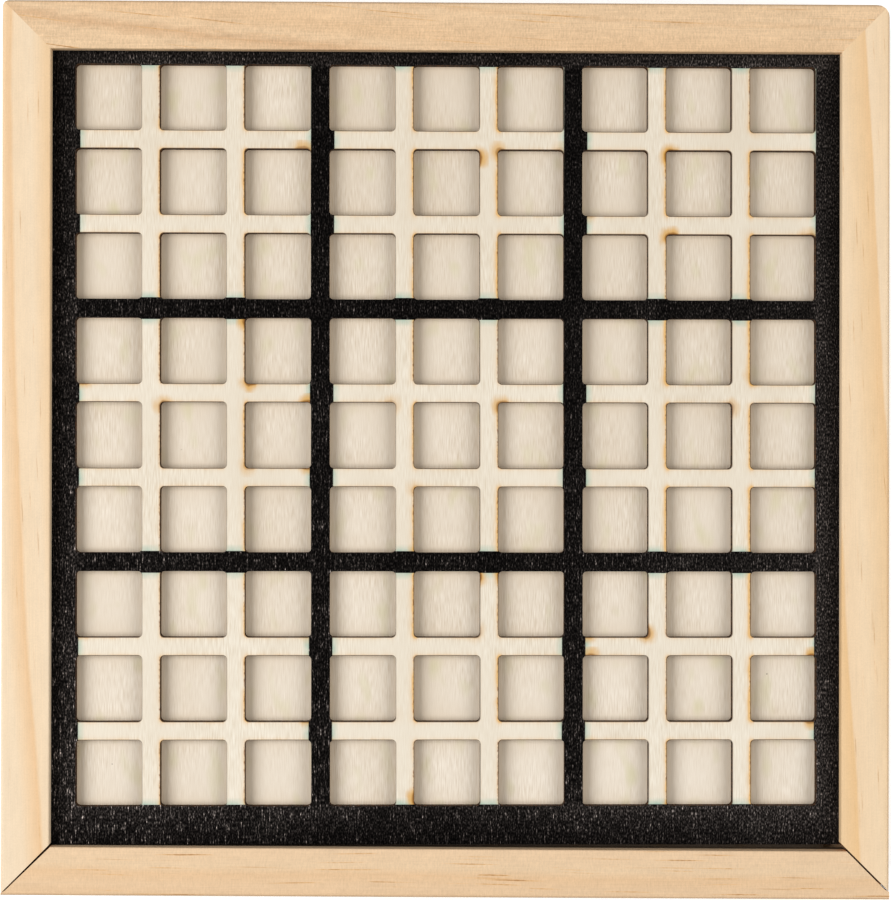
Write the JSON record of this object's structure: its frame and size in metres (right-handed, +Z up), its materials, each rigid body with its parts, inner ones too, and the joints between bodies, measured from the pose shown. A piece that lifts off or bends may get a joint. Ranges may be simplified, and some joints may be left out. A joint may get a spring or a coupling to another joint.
{
  "type": "wooden sudoku board",
  "caption": "Square pine box whose lid is a laser-cut plywood number grid with black block lines; the lid slides out in side grooves over a tray of loose number tiles.",
  "frame": {"origin": "middle of the box's footprint, on the table", "axes": "+Z up; +Y to the rear rail; the lid with its front rail slides out along -Y; +X to the right"},
  "size_m": [0.22, 0.2226, 0.03],
  "materials": {
    "pine": "sanded, bare pale pine",
    "plywood": "bare pale basswood plywood",
    "grid_plywood": "bare basswood plywood with laser-scorched window edges",
    "black_ink": "matt black screen print on wood",
    "tile_wood": "bare plywood with scorched edges and a dark number"
  },
  "bodies": {
    "box": {"left_rail": "pine", "right_rail": "pine", "rear_rail": "pine", "front_wall": "pine", "base_panel": "plywood", "tiles_1": "tile_wood", "tiles_2": "tile_wood", "tiles_3": "tile_wood", "tiles_4": "tile_wood", "tiles_5": "tile_wood", "tiles_6": "tile_wood", "tiles_7": "tile_wood", "tiles_8": "tile_wood", "tiles_9": "tile_wood"},
    "lid": {"pull_rail": "pine", "cell_floor": "plywood", "grid_plate": "grid_plywood", "block_line_print": "black_ink"}
  },
  "joints": [
    {"name": "lid_slide", "type": "slide", "parent": "box", "child": "lid", "axis": [0, -1, 0], "range_m": [0, 0.2]}
  ]
}
